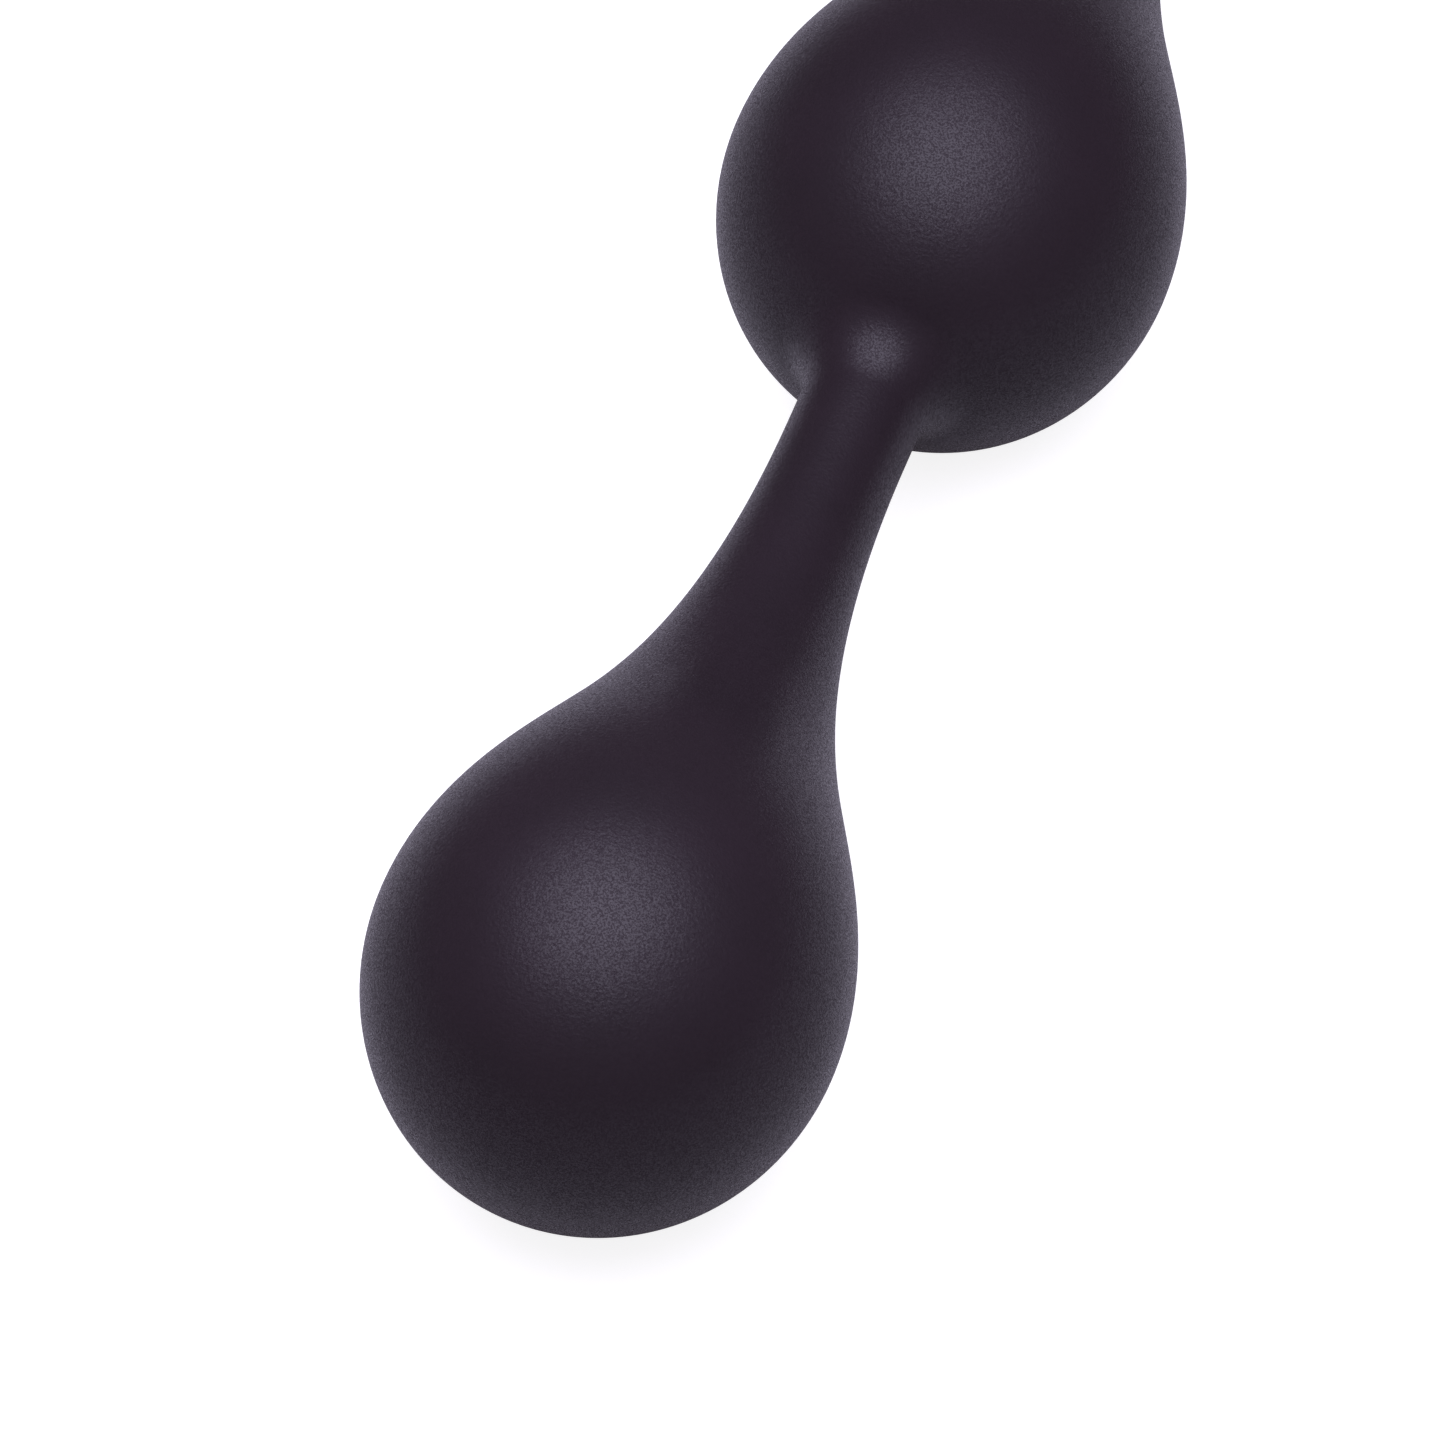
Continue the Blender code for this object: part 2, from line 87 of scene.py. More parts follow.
# Tail and ring, as in the CAD but for an easier start of the tail's bend. s is from the upper
# ball's centre.
TAIL_RADIUS = 2.4
TAIL_NARROW_LENGTH = 25.0
TAIL_END = 60.0
TAIL_DROP_START = 33.0
TAIL_DROP_END = 58.0
TAIL_HANDLE_HIGH = 15.0
TAIL_HANDLE_LOW = 10.0
TAIL_SPLIT = 49.5
RING_MAJOR = 12.0
RING_MINOR = 2.8
RING_FILLET = 1.6

# Cords and the ring's hollow, as in the CAD.
CORD_RADIUS = 0.8
STOP_START = 14.8
RING_STOP_START = 61.4
RING_STOP_END = 64.2
POCKET_RADIUS = 2.0
GAP = 0.3

# The cords' braid, which the CAD leaves smooth.
BRAID_STRANDS = 8
BRAID_PITCH = 3.2
BRAID_RELIEF = 0.09
BRAID_STEP = 0.12

# Points round each turned shape and along each curve of its outline.
ROUND = 160
BRAID_ROUND = 64
HOLLOW_ROUND = 64
BACK_POINTS = 64
SHOULDER_POINTS = 56
TAPER_POINTS = 26
FILLET_POINTS = 22
STUB_POINTS = 6
CAVITY_POINTS = 40
NECK_POINTS = 48
TAIL_STATIONS = 163

# The rough ring that is then settled on its true surface. Its root reaches into the tail.
TORUS_ROUND = 96
TORUS_SECTION_ROUND = 24
ROOT_ROUND = 32
ROOT_OVERLAP = 2.0
VOXEL = 0.28

# Steps of the solvers, gaps that are welded (metres), and the angle from which an edge is sharp.
HALVINGS = 50
SLOPE_STEP = 0.05
SETTLE_STEP = 0.001
SETTLE_ROUNDS = 8
SETTLE_LEAST_SLOPE = 0.05
WELD = 1e-7
LEAST_EDGE = 1e-8
SHARP_ANGLE = math.radians(35)

# Where the neck and its cord are each cut into two lengths.
NECK_MIDDLE = 44.0

# Camera: above the free end, looking along the chain.
VIEW_AZIMUTH = 18.7
VIEW_ELEVATION = 49.5
VIEW_DISTANCE = 0.858
VIEW_LENS = 294.0
VIEW_TARGET_S = 25.75

# Light: nested soft discs above the lower ball, each with its diameter, its share of the power
# and its height, and pale walls round a white table. WALLS and CEILING are the walls' light
# low and high, and FRONT_LEVEL and FAR_LEVEL scale it from the camera's side to the far side.
# The camera sees TABLE_GLOW on the table, and the object is lit by TABLE_BOUNCE.
KEY_ACROSS = 0.012
KEY_ALONG = -0.017
KEY_DISCS = ((0.29, 0.085, 0.45), (0.55, 0.39, 0.457), (0.84, 0.525, 0.465))
KEY_POWER = 5.1
KEY_COLOUR = (0.82, 0.78, 0.99)
WHITE = (1.0, 1.0, 1.0)
WALLS = 0.31
CEILING = 0.14
FRONT_LEVEL = 1.0
FAR_LEVEL = 0.5
BOUNCE_COLOUR = (1.0, 0.83, 1.0)
TABLE_GLOW = 0.85
TABLE_BOUNCE = 0.04
TABLE_ALBEDO = 0.45
TABLE_HALF = 3.0
TABLE_DROP = 0.0001

# Silicone: a dull dark body under a clear coat, which the speckle breaks up into a fine grain.
SILICONE_COLOUR = (0.010, 0.005, 0.0085)
SILICONE_ROUGHNESS = 0.66
ROUGHNESS_SPREAD = 0.07
SILICONE_IOR = 1.3
MOTTLE_SCALE = 90.0
GRAIN_SCALE = 3600.0
GRAIN_STRENGTH = 0.8
GRAIN_DEPTH = 0.00004
DULLEST_COAT = 0.25
SPECKLE_SCALE = 7500.0
SPECKLE_REACH = 0.11
COAT_ROUGHNESS = 0.27
COAT_IOR = 1.26

JOINTS = {joint["name"]: joint for joint in frame["joints"]}
LOWER = Vector(JOINTS["lower_weight_roll"]["pos_m"])
UPPER = Vector(JOINTS["upper_weight_roll"]["pos_m"])
BALL_SPACING = (UPPER - LOWER).y / MM
RING_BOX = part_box("finger_ring")
RING_CENTRE = Vector((0.0, RING_BOX[1].y - (RING_MAJOR + RING_MINOR) * MM, 0.0))
RING_CENTRE.z = RING_BOX[1].z - RING_MINOR * MM


# ---------------------------------------------------------------- camera, light and table

def make_camera():
    data = bpy.data.cameras.new("camera")
    data.lens = VIEW_LENS
    data.sensor_width = 36.0
    data.clip_start = 0.01
    data.clip_end = 20.0
    camera = bpy.data.objects.new("camera", data)
    bpy.context.scene.collection.objects.link(camera)
    a, e = math.radians(VIEW_AZIMUTH), math.radians(VIEW_ELEVATION)
    back = Vector((math.sin(a) * math.cos(e), -math.cos(a) * math.cos(e), math.sin(e)))
    target = LOWER + Vector((0.0, VIEW_TARGET_S * MM, 0.0))
    camera.location = target + back * VIEW_DISTANCE
    camera.rotation_euler = (-back).to_track_quat("-Z", "Y").to_euler()
    bpy.context.scene.camera = camera


def area_light(name, place, aim, size, power, colour):
    data = bpy.data.lights.new(name, "AREA")
    data.shape = "DISK"
    data.size = size
    data.energy = power
    data.color = colour
    light = bpy.data.objects.new(name, data)
    light.location = place
    light.rotation_euler = (Vector(aim) - Vector(place)).to_track_quat("-Z", "Y").to_euler()
    light.visible_camera = False
    bpy.context.scene.collection.objects.link(light)


def make_lights():
    """One soft light above the lower ball: nested discs, brightest in the middle."""
    for size, share, height in KEY_DISCS:
        above = LOWER + Vector((KEY_ACROSS, KEY_ALONG, height))
        area_light("key", above, LOWER, size, share * KEY_POWER, KEY_COLOUR)


def scaled(colour, level):
    return tuple(level * part for part in colour) + (1.0,)


def seen_or_lit(nodes, links, seen):
    """A mix of what lights the object, in its input A, and the colour that the camera sees."""
    path = nodes.new("ShaderNodeLightPath")
    mix = nodes.new("ShaderNodeMix")
    mix.data_type = "RGBA"
    mix.inputs["B"].default_value = seen
    links.new(path.outputs["Is Camera Ray"], mix.inputs["Factor"])
    return mix


def make_world():
    """Pale mauve walls, darker above and on the far side. The camera sees plain white instead."""
    world = bpy.data.worlds.new("studio")
    bpy.context.scene.world = world
    world.use_nodes = True
    nodes, links = world.node_tree.nodes, world.node_tree.links
    place = nodes.new("ShaderNodeTexCoord")
    split = nodes.new("ShaderNodeSeparateXYZ")
    links.new(place.outputs["Generated"], split.inputs["Vector"])
    height = [(0.2, scaled(BOUNCE_COLOUR, WALLS)), (0.8, scaled(BOUNCE_COLOUR, CEILING))]
    along = nodes.new("ShaderNodeMapRange")
    along.inputs["From Min"].default_value = -1.0
    links.new(split.outputs["Y"], along.inputs["Value"])
    depth = [(0.0, scaled(WHITE, FRONT_LEVEL)), (1.0, scaled(WHITE, FAR_LEVEL))]
    both = nodes.new("ShaderNodeMix")
    both.data_type = "RGBA"
    both.blend_type = "MULTIPLY"
    both.inputs["Factor"].default_value = 1.0
    links.new(ramp(nodes, links, split.outputs["Z"], height), both.inputs["A"])
    links.new(ramp(nodes, links, along.outputs["Result"], depth), both.inputs["B"])
    mix = seen_or_lit(nodes, links, scaled(WHITE, 1.0))
    links.new(both.outputs["Result"], mix.inputs["A"])
    links.new(mix.outputs["Result"], nodes["Background"].inputs["Color"])


def make_table():
    """A white table that glows evenly for the camera, so that shadows on it stay faint."""
    mesh = bpy.data.meshes.new("table_top")
    work = bmesh.new()
    bmesh.ops.create_grid(work, x_segments=8, y_segments=8, size=TABLE_HALF)
    work.to_mesh(mesh)
    work.free()
    table = bpy.data.objects.new("table_top", mesh)
    table.location.z = -TABLE_DROP
    bpy.context.scene.collection.objects.link(table)
    look, nodes, links = new_material("white_table")
    shader = nodes["Principled BSDF"]
    shader.inputs["Base Color"].default_value = (TABLE_ALBEDO, TABLE_ALBEDO, TABLE_ALBEDO, 1.0)
    shader.inputs["Roughness"].default_value = 0.8
    shader.inputs["Specular IOR Level"].default_value = 0.1
    mix = seen_or_lit(nodes, links, (TABLE_GLOW, TABLE_GLOW, TABLE_GLOW, 1.0))
    mix.inputs["A"].default_value = scaled(BOUNCE_COLOUR, TABLE_BOUNCE)
    links.new(mix.outputs["Result"], shader.inputs["Emission Color"])
    shader.inputs["Emission Strength"].default_value = 1.0
    mesh.materials.append(look)


# ---------------------------------------------------------------- outline of the silicone

def bezier(points, t):
    """Points of a cubic at the values t, as rows of (s, radius)."""
    t = np.asarray(t, float)[:, None]
    p = np.asarray(points, float)
    return ((1 - t) ** 3 * p[0] + 3 * t * (1 - t) ** 2 * p[1]
            + 3 * t * t * (1 - t) * p[2] + t**3 * p[3])


def flank_direction():
    return np.array([1.0, FLANK_SLOPE]) / math.hypot(1.0, FLANK_SLOPE)


def shoulder_curve():
    flank = np.array([FLANK_S, FLANK_RADIUS])
    return ((0.0, BALL_RADIUS), (SHOULDER_HANDLE, BALL_RADIUS),
            flank - FLANK_HANDLE_BEHIND * flank_direction(), flank)


def taper_curve():
    flank = np.array([FLANK_S, FLANK_RADIUS])
    return (flank, flank + FLANK_HANDLE_AHEAD * flank_direction(),
            (NECK_S - NECK_HANDLE, NECK_RADIUS), (NECK_S, NECK_RADIUS))


def at_s(curve, s):
    """The curve's parameter where it passes s."""
    low, high = 0.0, 1.0
    for _ in range(HALVINGS):
        middle = (low + high) / 2
        if bezier(curve, [middle])[0, 0] < s:
            low = middle
        else:
            high = middle
    return (low + high) / 2


def taper_between(near, far, count):
    """Outline points of the taper from s = near to s = far, level beyond its end."""
    curve = taper_curve()
    points = bezier(curve, np.linspace(at_s(curve, near), at_s(curve, min(far, NECK_S)), count))
    return points if far <= NECK_S else np.vstack([points, [far, NECK_RADIUS]])


def back_point(angle):
    return np.stack([-BALL_BACK * np.cos(angle), BALL_RADIUS * np.sin(angle)], -1)


def fillet():
    """Centre of the fillet between a ball's back and the neck, and where it meets the ball."""
    height = NECK_RADIUS + FILLET_RADIUS
    low, high = 0.0, math.pi / 2
    for _ in range(HALVINGS):
        angle = (low + high) / 2
        place = back_point(angle)
        normal = place / np.array([BALL_BACK, BALL_RADIUS]) ** 2
        normal /= np.linalg.norm(normal)
        if place[1] + FILLET_RADIUS * normal[1] < height:
            low = angle
        else:
            high = angle
    centre = place + FILLET_RADIUS * normal
    return centre, angle, math.atan2(-normal[1], -normal[0])


def drop_outline(back_angle):
    """Outer points of a drop from back_angle (0 is the pole) forwards to the taper's split."""
    back = back_point(np.linspace(back_angle, math.pi / 2, BACK_POINTS))
    shoulder = bezier(shoulder_curve(), np.linspace(0, 1, SHOULDER_POINTS))[1:]
    taper = taper_between(FLANK_S, TAPER_SPLIT, TAPER_POINTS)[1:]
    return np.vstack([back, shoulder, taper])


def stub_outline():
    """Outer points from the stub's end forwards round the fillet, up to the ball's back."""
    centre, _, ball_turn = fillet()
    turns = np.linspace(-math.pi / 2, ball_turn, FILLET_POINTS)[:-1]
    arc = centre + FILLET_RADIUS * np.stack([np.cos(turns), np.sin(turns)], -1)
    straight = np.linspace(-STUB_SPLIT, arc[0, 0], STUB_POINTS)[:-1]
    return np.vstack([np.stack([straight, np.full(STUB_POINTS - 1, NECK_RADIUS)], -1), arc])


def cavity_outline(open_back):
    """Inner wall, from the front face of the taper back to the pole or to the rear bore."""
    mouth = math.asin(BOSS_CLEARANCE_RADIUS / CAVITY_RADIUS)
    last = math.pi - mouth if open_back else math.pi
    turns = np.linspace(mouth, last, CAVITY_POINTS)
    wall = CAVITY_RADIUS * np.stack([np.cos(turns), np.sin(turns)], -1)
    front = [(TAPER_SPLIT, BORE_RADIUS), (BOSS_CLEARANCE_END, BORE_RADIUS),
             (BOSS_CLEARANCE_END, BOSS_CLEARANCE_RADIUS)]
    rear = [(-BOSS_CLEARANCE_END, BOSS_CLEARANCE_RADIUS), (-BOSS_CLEARANCE_END, BORE_RADIUS),
            (-STUB_SPLIT, BORE_RADIUS)]
    return np.vstack([front, wall] + ([rear] if open_back else []))


# ---------------------------------------------------------------- surfaces

def link(name, work):
    mesh = bpy.data.meshes.new(name)
    work.to_mesh(mesh)
    work.free()
    obj = bpy.data.objects.new(name, mesh)
    bpy.context.scene.collection.objects.link(obj)
    return obj


def loft(name, rings, closed):
    """A solid through rings of points. closed joins the last ring to the first.

    Rings of no size, at a pole, are welded into one point.
    """
    count, around = rings.shape[:2]
    work = bmesh.new()
    verts = [[work.verts.new(p) for p in ring] for ring in rings]
    for i in range(count if closed else count - 1):
        here, there = verts[i], verts[(i + 1) % count]
        for j in range(around):
            k = (j + 1) % around
            work.faces.new((here[j], there[j], there[k], here[k]))
    bmesh.ops.remove_doubles(work, verts=work.verts, dist=WELD)
    bmesh.ops.dissolve_degenerate(work, edges=work.edges, dist=LEAST_EDGE)
    bmesh.ops.recalc_face_normals(work, faces=work.faces)
    obj = link(name, work)
    obj.data.shade_smooth()
    obj.data.set_sharp_from_angle(angle=SHARP_ANGLE)
    return obj


def turned_rings(profile, centre, around=ROUND):
    """Rings about the chain's axis, from (s, radius) points."""
    turns = np.linspace(0, 2 * math.pi, around, endpoint=False)
    profile = np.asarray(profile)
    s, r = profile[:, 0, None], profile[:, 1, None]
    points = np.stack([r * np.cos(turns), s + 0 * turns, r * np.sin(turns)], -1)
    return np.array(centre) + points * MM


def press_flat(obj):
    """Soft silicone that would reach through the table lies flat on it instead."""
    for vertex in obj.data.vertices:
        vertex.co.z = max(vertex.co.z, 0.0)


def make_lower_drop():
    outer = drop_outline(0.0)
    profile = np.vstack([outer, cavity_outline(False)])
    obj = loft("lower_drop", turned_rings(profile, LOWER), closed=False)
    press_flat(obj)
    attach(obj, "lower_ball")
    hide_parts("lower_skin")
    return obj


def make_upper_drop():
    outer = np.vstack([stub_outline(), drop_outline(fillet()[1])])
    profile = np.vstack([outer, cavity_outline(True)])
    obj = loft("upper_drop", turned_rings(profile, UPPER), closed=True)
    press_flat(obj)
    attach(obj, "upper_ball")
    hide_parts("upper_skin")
    return obj


def neck_section(name, near, far):
    """A length of the neck with its bore, between two distances from the lower ball."""
    outer = taper_between(near, far, NECK_POINTS)
    inner = [(far, BORE_RADIUS), (near, BORE_RADIUS)]
    return loft(name, turned_rings(np.vstack([outer, inner]), LOWER), closed=True)


def blend_neck(lower, upper):
    """Bakes the placing of both lengths into their meshes."""
    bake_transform(lower)
    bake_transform(upper)


def make_neck():
    lower = neck_section("neck_lower", TAPER_SPLIT, NECK_MIDDLE)
    upper = neck_section("neck_upper", NECK_MIDDLE, BALL_SPACING - STUB_SPLIT)
    blend_neck(lower, upper)
    for obj in (lower, upper):
        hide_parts("neck_skin")
    return [lower, upper]


# ---------------------------------------------------------------- tail

def tail_line(s):
    """Centre line of the tail: heights (mm) and slopes at s, level at both ends."""
    drop = LOWER.z / MM - RING_CENTRE.z / MM
    curve = ((TAIL_DROP_START, drop), (TAIL_DROP_START + TAIL_HANDLE_HIGH, drop),
             (TAIL_DROP_END - TAIL_HANDLE_LOW, 0.0), (TAIL_DROP_END, 0.0))
    heights = np.where(s <= TAIL_DROP_START, drop, 0.0)
    for i, value in enumerate(s):
        if TAIL_DROP_START < value < TAIL_DROP_END:
            heights[i] = bezier(curve, [at_s(curve, value)])[0, 1]
    return heights, np.gradient(heights, s)


def taper_radius(s):
    curve = taper_curve()
    return bezier(curve, [at_s(curve, s)])[0, 1]


def tail_radius(s):
    """Narrows smoothly from the drop's taper to the tail's own radius."""
    start = taper_radius(TAPER_SPLIT)
    slope = (taper_radius(TAPER_SPLIT + SLOPE_STEP) - start) / SLOPE_STEP
    t = np.minimum((s - TAPER_SPLIT) / TAIL_NARROW_LENGTH, 1.0)
    fall = 2 * t**3 - 3 * t**2 + 1
    rise = slope * TAIL_NARROW_LENGTH * (t**3 - 2 * t**2 + t)
    return fall * start + rise + (1 - fall) * TAIL_RADIUS


def swept_rings(stations, radii, heights, slopes):
    """Rings square to a line in the plane x = 0."""
    turns = np.linspace(0, 2 * math.pi, ROUND, endpoint=False)
    length = np.hypot(1.0, slopes)
    rings = []
    for s, r, h, dy, dz in zip(stations, radii, heights, 1 / length, slopes / length):
        centre = np.array([0.0, UPPER.y / MM + s, RING_CENTRE.z / MM + h])
        across, up = np.array([1.0, 0.0, 0.0]), np.array([0.0, -dz, dy])
        rings.append(centre + r * (np.outer(np.cos(turns), across) + np.outer(np.sin(turns), up)))
    return np.array(rings) * MM


def tail_section(name, part):
    """A length of the tail, with its bore. part holds indices into the tail's stations."""
    stations = np.linspace(TAPER_SPLIT, TAIL_END, TAIL_STATIONS)
    heights, slopes = tail_line(stations)
    radii = tail_radius(stations)
    chosen = [values[part] for values in (stations, radii, heights, slopes)]
    outer = swept_rings(*chosen)
    chosen[1] = np.full(len(chosen[0]), BORE_RADIUS)
    inner = swept_rings(*chosen)[::-1]
    return loft(name, np.concatenate([outer, inner]), closed=True)


def blend_tail(upper, lower):
    """Bakes the placing of both lengths into their meshes."""
    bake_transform(upper)
    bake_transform(lower)


def make_tail():
    share = (TAIL_SPLIT - TAPER_SPLIT) / (TAIL_END - TAPER_SPLIT)
    split = int(round(share * (TAIL_STATIONS - 1)))
    upper = tail_section("tail_upper", slice(0, split + 1))
    lower = tail_section("tail_lower", slice(split, TAIL_STATIONS))
    blend_tail(upper, lower)
    for obj in (upper, lower):
        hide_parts("tail_skin")
        press_flat(obj)
    return [upper, lower]


# ---------------------------------------------------------------- cords

def braided_rings(stations, centres, ups):
    """Rings of a round braid: strands of both hands cross over and under each other."""
    turns = np.linspace(0, 2 * math.pi, BRAID_ROUND, endpoint=False)
    rings = []
    for s, centre, up in zip(stations, centres, ups):
        wind = 2 * math.pi * s / BRAID_PITCH
        right = np.cos(BRAID_STRANDS / 2 * turns + wind)
        left = np.cos(BRAID_STRANDS / 2 * turns - wind)
        radius = CORD_RADIUS * (1 - BRAID_RELIEF * (1 - np.maximum(right, left)))
        across = np.array([1.0, 0.0, 0.0])
        spokes = np.outer(np.cos(turns), across) + np.outer(np.sin(turns), up)
        rings.append(centre + radius[:, None] * MM * spokes)
    ends = [np.tile(centres[i], (BRAID_ROUND, 1)) for i in (0, -1)]
    return np.array([ends[0], *rings, ends[1]])


def neck_cord_section(name, near, far):
    """A length of the neck's cord, between two distances from the lower ball."""
    stations = np.linspace(near, far, int((far - near) / BRAID_STEP))
    centres = [np.array(LOWER) + (0, s * MM, 0) for s in stations]
    ups = [np.array([0.0, 0.0, 1.0])] * len(stations)
    return loft(name, braided_rings(stations, centres, ups), closed=False)


def tail_cord_section(name, near, far):
    """A length of the tail's cord, between two distances from the upper ball."""
    stations = np.linspace(near, far, int((far - near) / BRAID_STEP))
    heights, slopes = tail_line(stations)
    base = np.array([0.0, UPPER.y, RING_CENTRE.z])
    centres = [base + np.array([0.0, s, h]) * MM for s, h in zip(stations, heights)]
    ups = [np.array([0.0, -slope, 1.0]) / math.hypot(1.0, slope) for slope in slopes]
    return loft(name, braided_rings(stations, centres, ups), closed=False)


def make_cords():
    """Cords along the neck and the tail, each cut into two lengths where the silicone around it
    is cut.
    """
    far = BALL_SPACING - STOP_START
    lower = neck_cord_section("neck_cord_lower", STOP_START, NECK_MIDDLE)
    upper = neck_cord_section("neck_cord_upper", NECK_MIDDLE, far)
    blend_neck(lower, upper)
    high = tail_cord_section("tail_cord_upper", STOP_START, TAIL_SPLIT)
    low = tail_cord_section("tail_cord_lower", TAIL_SPLIT, RING_STOP_END)
    blend_tail(high, low)
    for obj in (lower, upper):
        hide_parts("neck_cord")
    for obj in (high, low):
        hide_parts("tail_cord")
    return [lower, upper, high, low]


# ---------------------------------------------------------------- ring

def ring_distance(points):
    """Distance to the ring and its root, joined with a fillet. Points are in millimetres."""
    x, y, z = points.T
    ring = np.hypot(np.hypot(x, y) - RING_MAJOR, z) - RING_MINOR
    root = np.hypot(x, z) - TAIL_RADIUS
    root = np.maximum(root, y + RING_MAJOR)
    close = np.clip(0.5 + 0.5 * (root - ring) / RING_FILLET, 0, 1)
    return root * (1 - close) + ring * close - RING_FILLET * close * (1 - close)


def settle_on(points, distance):
    """Moves points along the slope of a distance field until they lie on its surface."""
    step = SETTLE_STEP
    for _ in range(SETTLE_ROUNDS):
        value = distance(points)
        slope = np.stack([
            (distance(points + step * axis) - distance(points - step * axis)) / (2 * step)
            for axis in np.eye(3)], -1)
        size = np.maximum((slope**2).sum(1, keepdims=True), SETTLE_LEAST_SLOPE)
        points = points - value[:, None] * slope / size
    return points


def rough_ring():
    """A voxel mesh of the ring and its root, which settle_on then makes smooth."""
    bpy.ops.mesh.primitive_torus_add(
        major_segments=TORUS_ROUND, minor_segments=TORUS_SECTION_ROUND,
        major_radius=RING_MAJOR, minor_radius=RING_MINOR)
    ring = bpy.context.active_object
    work = bmesh.new()
    work.from_mesh(ring.data)
    root_end = -(RING_CENTRE.y - UPPER.y) / MM + TAIL_END - ROOT_OVERLAP
    made = bmesh.ops.create_cone(
        work, cap_ends=True, segments=ROOT_ROUND, radius1=TAIL_RADIUS, radius2=TAIL_RADIUS,
        depth=-root_end - RING_MAJOR)
    bmesh.ops.rotate(work, verts=made["verts"], cent=(0, 0, 0),
                     matrix=Matrix.Rotation(math.pi / 2, 3, "X"))
    bmesh.ops.translate(work, verts=made["verts"], vec=(0, (root_end - RING_MAJOR) / 2, 0))
    work.to_mesh(ring.data)
    work.free()
    remesh = ring.modifiers.new("voxels", "REMESH")
    remesh.mode = "VOXEL"
    remesh.voxel_size = VOXEL
    evaluated = ring.evaluated_get(bpy.context.evaluated_depsgraph_get())
    mesh = bpy.data.meshes.new_from_object(evaluated)
    bpy.data.objects.remove(ring)
    return mesh


def hollow_ring(obj):
    """Cuts the cord's bore and the pocket of its last stop into the ring's root."""
    pocket = (RING_STOP_START - GAP, RING_STOP_END + GAP)
    outline = [(pocket[1], 0), (pocket[1], POCKET_RADIUS), (pocket[0], POCKET_RADIUS),
               (pocket[0], BORE_RADIUS), (TAIL_END - GAP, BORE_RADIUS), (TAIL_END - GAP, 0)]
    centre = (0.0, UPPER.y, RING_CENTRE.z)
    cutter = loft("ring_hollow", turned_rings(outline, centre, HOLLOW_ROUND), closed=False)
    cut = obj.modifiers.new("hollow", "BOOLEAN")
    cut.operation = "DIFFERENCE"
    cut.solver = "EXACT"
    cut.object = cutter
    evaluated = obj.evaluated_get(bpy.context.evaluated_depsgraph_get())
    mesh = bpy.data.meshes.new_from_object(evaluated)
    obj.modifiers.clear()
    obj.data = mesh
    bpy.data.objects.remove(cutter)


def make_ring():
    rough = rough_ring()
    points = np.array([v.co for v in rough.vertices])
    points = settle_on(points, ring_distance)
    rough.vertices.foreach_set("co", points.astype(np.float32).ravel())
    work = bmesh.new()
    work.from_mesh(rough)
    bpy.data.meshes.remove(rough)
    cut = -(RING_CENTRE.y - UPPER.y) / MM + TAIL_END
    bmesh.ops.bisect_plane(work, geom=work.verts[:] + work.edges[:] + work.faces[:],
                           plane_co=(0, cut, 0), plane_no=(0, -1, 0), clear_outer=True)
    rim = [e for e in work.edges if e.is_boundary]
    bmesh.ops.holes_fill(work, edges=rim)
    bmesh.ops.scale(work, vec=(MM, MM, MM), verts=work.verts)
    bmesh.ops.translate(work, vec=RING_CENTRE, verts=work.verts)
    bmesh.ops.recalc_face_normals(work, faces=work.faces)
    obj = link("ring_loop", work)
    hollow_ring(obj)
    obj.data.shade_smooth()
    obj.data.set_sharp_from_angle(angle=SHARP_ANGLE)
    press_flat(obj)
    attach(obj, "ring")
    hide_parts("finger_ring")
    return obj


# ---------------------------------------------------------------- materials

def new_material(name):
    look = bpy.data.materials.new(name)
    look.use_nodes = True
    return look, look.node_tree.nodes, look.node_tree.links


def noise(nodes, links, scale, detail=2.0, roughness=0.5):
    """A noise texture in metres: scale is features a metre."""
    place = nodes.new("ShaderNodeTexCoord")
    texture = nodes.new("ShaderNodeTexNoise")
    texture.inputs["Scale"].default_value = scale
    texture.inputs["Detail"].default_value = detail
    texture.inputs["Roughness"].default_value = roughness
    links.new(place.outputs["Object"], texture.inputs["Vector"])
    return texture.outputs["Fac"]


def ramp(nodes, links, source, stops):
    made = nodes.new("ShaderNodeValToRGB")
    elements = made.color_ramp.elements
    for element, (position, colour) in zip(elements, stops):
        element.position = position
        element.color = colour
    links.new(source, made.inputs["Fac"])
    return made.outputs["Color"]


def span(nodes, links, source, low, high, reach=0.2):
    """Spreads a noise's middle values, within reach of a half, from low to high."""
    made = nodes.new("ShaderNodeMapRange")
    made.inputs["From Min"].default_value = 0.5 - reach
    made.inputs["From Max"].default_value = 0.5 + reach
    made.inputs["To Min"].default_value = low
    made.inputs["To Max"].default_value = high
    links.new(source, made.inputs["Value"])
    return made.outputs["Result"]


def bumped(nodes, links, height, strength, depth):
    """Joins a bump of this depth in metres to the shader's normal and its coat's."""
    bump = nodes.new("ShaderNodeBump")
    bump.inputs["Strength"].default_value = strength
    bump.inputs["Distance"].default_value = depth
    links.new(height, bump.inputs["Height"])
    for name in ("Normal", "Coat Normal"):
        links.new(bump.outputs["Normal"], nodes["Principled BSDF"].inputs[name])


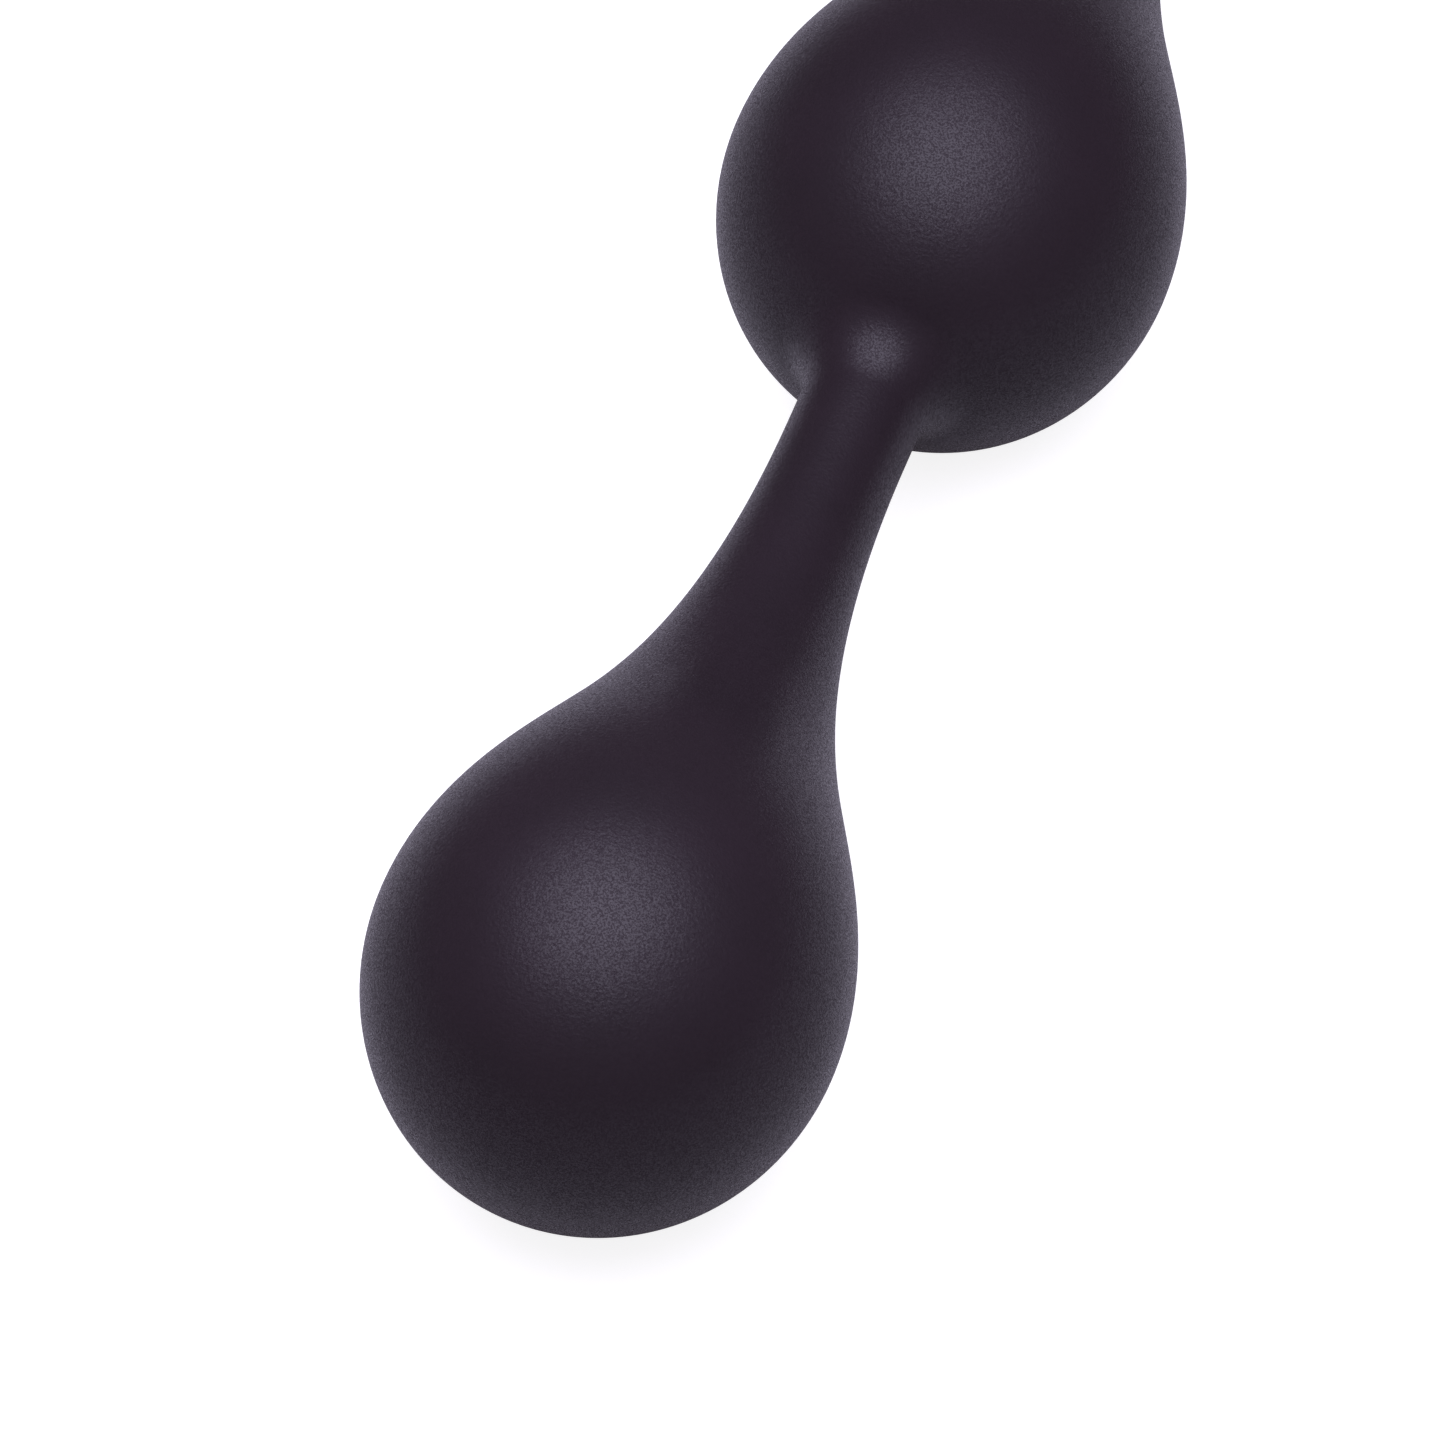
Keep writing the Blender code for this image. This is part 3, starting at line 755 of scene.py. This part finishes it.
def silicone():
    """Matte black silicone with a hint of plum, a spark-eroded grain and faint mottling."""
    look, nodes, links = new_material("black_silicone")
    shader = nodes["Principled BSDF"]
    mottle = noise(nodes, links, MOTTLE_SCALE, detail=3.0)
    stops = [(0.35, scaled(SILICONE_COLOUR, 0.9)), (0.65, scaled(SILICONE_COLOUR, 1.1))]
    links.new(ramp(nodes, links, mottle, stops), shader.inputs["Base Color"])
    grain = noise(nodes, links, GRAIN_SCALE, detail=2.0, roughness=0.6)
    smooth, rough = SILICONE_ROUGHNESS - ROUGHNESS_SPREAD, SILICONE_ROUGHNESS + ROUGHNESS_SPREAD
    links.new(span(nodes, links, grain, smooth, rough), shader.inputs["Roughness"])
    bumped(nodes, links, grain, GRAIN_STRENGTH, GRAIN_DEPTH)
    shader.inputs["IOR"].default_value = SILICONE_IOR
    speckle = noise(nodes, links, SPECKLE_SCALE, detail=0.0)
    glints = span(nodes, links, speckle, DULLEST_COAT, 1.0, reach=SPECKLE_REACH)
    links.new(glints, shader.inputs["Coat Weight"])
    shader.inputs["Coat Roughness"].default_value = COAT_ROUGHNESS
    shader.inputs["Coat IOR"].default_value = COAT_IOR
    return look


def bands(nodes, links, scale, distortion):
    """Fine lines round the chain's axis, as a lathe leaves them."""
    place = nodes.new("ShaderNodeTexCoord")
    wave = nodes.new("ShaderNodeTexWave")
    wave.bands_direction = "Y"
    wave.inputs["Scale"].default_value = scale
    wave.inputs["Distortion"].default_value = distortion
    wave.inputs["Detail"].default_value = 3.0
    links.new(place.outputs["Object"], wave.inputs["Vector"])
    return wave.outputs["Fac"]


def capsule_plastic():
    """Ivory moulded plastic with a fine spark-eroded texture and faint flow marks."""
    look, nodes, links = new_material("ivory_plastic")
    shader = nodes["Principled BSDF"]
    flow = noise(nodes, links, scale=160.0, detail=4.0)
    stops = [(0.3, (0.58, 0.565, 0.53, 1.0)), (0.7, (0.66, 0.65, 0.62, 1.0))]
    links.new(ramp(nodes, links, flow, stops), shader.inputs["Base Color"])
    texture = noise(nodes, links, scale=6500.0, detail=2.0, roughness=0.6)
    gloss = span(nodes, links, texture, low=0.32, high=0.48)
    links.new(gloss, shader.inputs["Roughness"])
    bumped(nodes, links, texture, strength=0.4, depth=0.00002)
    shader.inputs["Subsurface Weight"].default_value = 0.08
    shader.inputs["Subsurface Radius"].default_value = (0.0012, 0.0010, 0.0008)
    return look


def ball_steel():
    """Polished bearing steel with fine scuffs from rolling in the capsule."""
    look, nodes, links = new_material("ball_steel")
    shader = nodes["Principled BSDF"]
    cloud = noise(nodes, links, scale=220.0, detail=5.0)
    stops = [(0.35, (0.50, 0.51, 0.53, 1.0)), (0.65, (0.60, 0.61, 0.62, 1.0))]
    links.new(ramp(nodes, links, cloud, stops), shader.inputs["Base Color"])
    scuffs = noise(nodes, links, scale=2600.0, detail=6.0, roughness=0.7)
    gloss = span(nodes, links, scuffs, low=0.12, high=0.30)
    links.new(gloss, shader.inputs["Roughness"])
    bumped(nodes, links, scuffs, strength=0.15, depth=0.00001)
    shader.inputs["Metallic"].default_value = 1.0
    return look


def sleeve_brass():
    """Turned brass, with lathe lines and a little tarnish."""
    look, nodes, links = new_material("sleeve_brass")
    shader = nodes["Principled BSDF"]
    tarnish = noise(nodes, links, scale=700.0, detail=4.0)
    stops = [(0.3, (0.52, 0.37, 0.17, 1.0)), (0.6, (0.70, 0.53, 0.26, 1.0))]
    links.new(ramp(nodes, links, tarnish, stops), shader.inputs["Base Color"])
    lines = bands(nodes, links, scale=1500.0, distortion=0.4)
    gloss = span(nodes, links, lines, low=0.22, high=0.40)
    links.new(gloss, shader.inputs["Roughness"])
    bumped(nodes, links, lines, strength=0.3, depth=0.00001)
    shader.inputs["Metallic"].default_value = 1.0
    return look


def braided_nylon():
    """Natural nylon yarn: fine filaments, slightly darker here and there, with a soft sheen."""
    look, nodes, links = new_material("nylon_yarn")
    shader = nodes["Principled BSDF"]
    shade = noise(nodes, links, scale=900.0, detail=4.0)
    stops = [(0.3, (0.44, 0.425, 0.385, 1.0)), (0.7, (0.60, 0.59, 0.55, 1.0))]
    links.new(ramp(nodes, links, shade, stops), shader.inputs["Base Color"])
    filament = noise(nodes, links, scale=9000.0, detail=4.0, roughness=0.7)
    gloss = span(nodes, links, filament, low=0.62, high=0.82)
    links.new(gloss, shader.inputs["Roughness"])
    bumped(nodes, links, filament, strength=0.6, depth=0.00003)
    shader.inputs["Sheen Weight"].default_value = 0.25
    shader.inputs["Sheen Roughness"].default_value = 0.4
    return look


def paint_nodes():
    """Gives the CAD nodes that stay their finished materials."""
    looks = {"capsule": capsule_plastic(), "weight": ball_steel(), "stop": sleeve_brass()}
    for name, obj in frame["nodes"].items():
        for word, look in looks.items():
            if word in name:
                obj.data.materials.clear()
                obj.data.materials.append(look)


# ---------------------------------------------------------------- the whole scene


def dress(pieces, look):
    for piece in pieces:
        piece.data.materials.clear()
        piece.data.materials.append(look)


def main():
    make_camera()
    make_lights()
    make_world()
    make_table()
    bpy.context.scene.view_settings.view_transform = "Standard"
    skins = [make_lower_drop(), make_upper_drop(), *make_neck(), *make_tail(), make_ring()]
    dress(skins, silicone())
    dress(make_cords(), braided_nylon())
    paint_nodes()


main()
